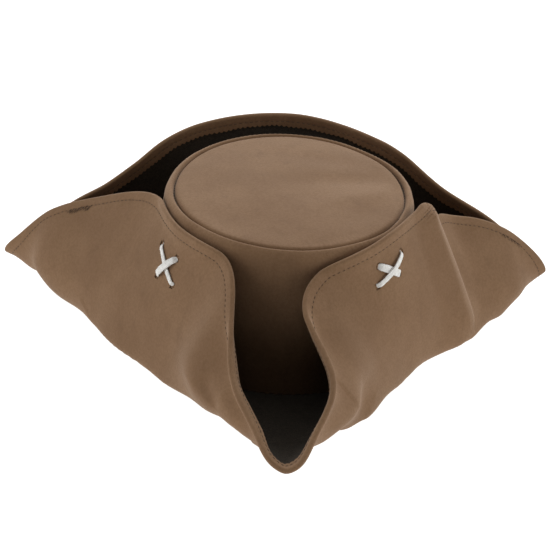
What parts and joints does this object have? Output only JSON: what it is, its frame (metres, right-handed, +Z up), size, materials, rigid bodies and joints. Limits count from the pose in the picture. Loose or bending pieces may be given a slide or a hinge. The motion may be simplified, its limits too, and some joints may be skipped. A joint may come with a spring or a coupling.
{
  "type": "pirate hat",
  "caption": "Three-cornered pirate hat in brown faux suede: oval crown with a sewn-in tip, stiff brim turned up in laced flaps, black felt brim facing, lining and sweatband.",
  "frame": {"origin": "centre of the head opening, on the plane the hat rests on", "axes": "-Y towards the front point, +X towards the wearer's left, +Z up out of the crown"},
  "size_m": [0.3712, 0.3374, 0.1084],
  "materials": {
    "suede": "brown microfibre faux suede, short brushed nap",
    "felt": "black pressed felt, matte",
    "buckram": "stiff open-weave buckram",
    "lining": "dark brown plain-weave lining with a soft sheen",
    "sweatband": "black grosgrain sweatband",
    "thread": "dark brown sewing thread",
    "band_thread": "near-black sewing thread",
    "lace": "off-white flat cotton lace, slightly frayed"
  },
  "bodies": {
    "root": {"crown_tip": "suede", "crown_side": "suede", "crown_tip_stiffener": "buckram", "crown_side_stiffener": "buckram", "crown_tip_stitching": "thread", "crown_back_stitching": "thread", "lining_tip": "lining", "lining_side": "lining", "sweatband": "sweatband", "sweatband_stitching": "band_thread", "brim_under": "suede", "brim_stiffener": "buckram", "brim_upper": "felt", "brim_joint_stitching": "thread", "hem_stitching": "thread", "hem_tack_left": "thread", "hem_tack_right": "thread", "lace_left": "lace", "lace_right": "lace", "lace_back": "lace"}
  },
  "joints": []
}
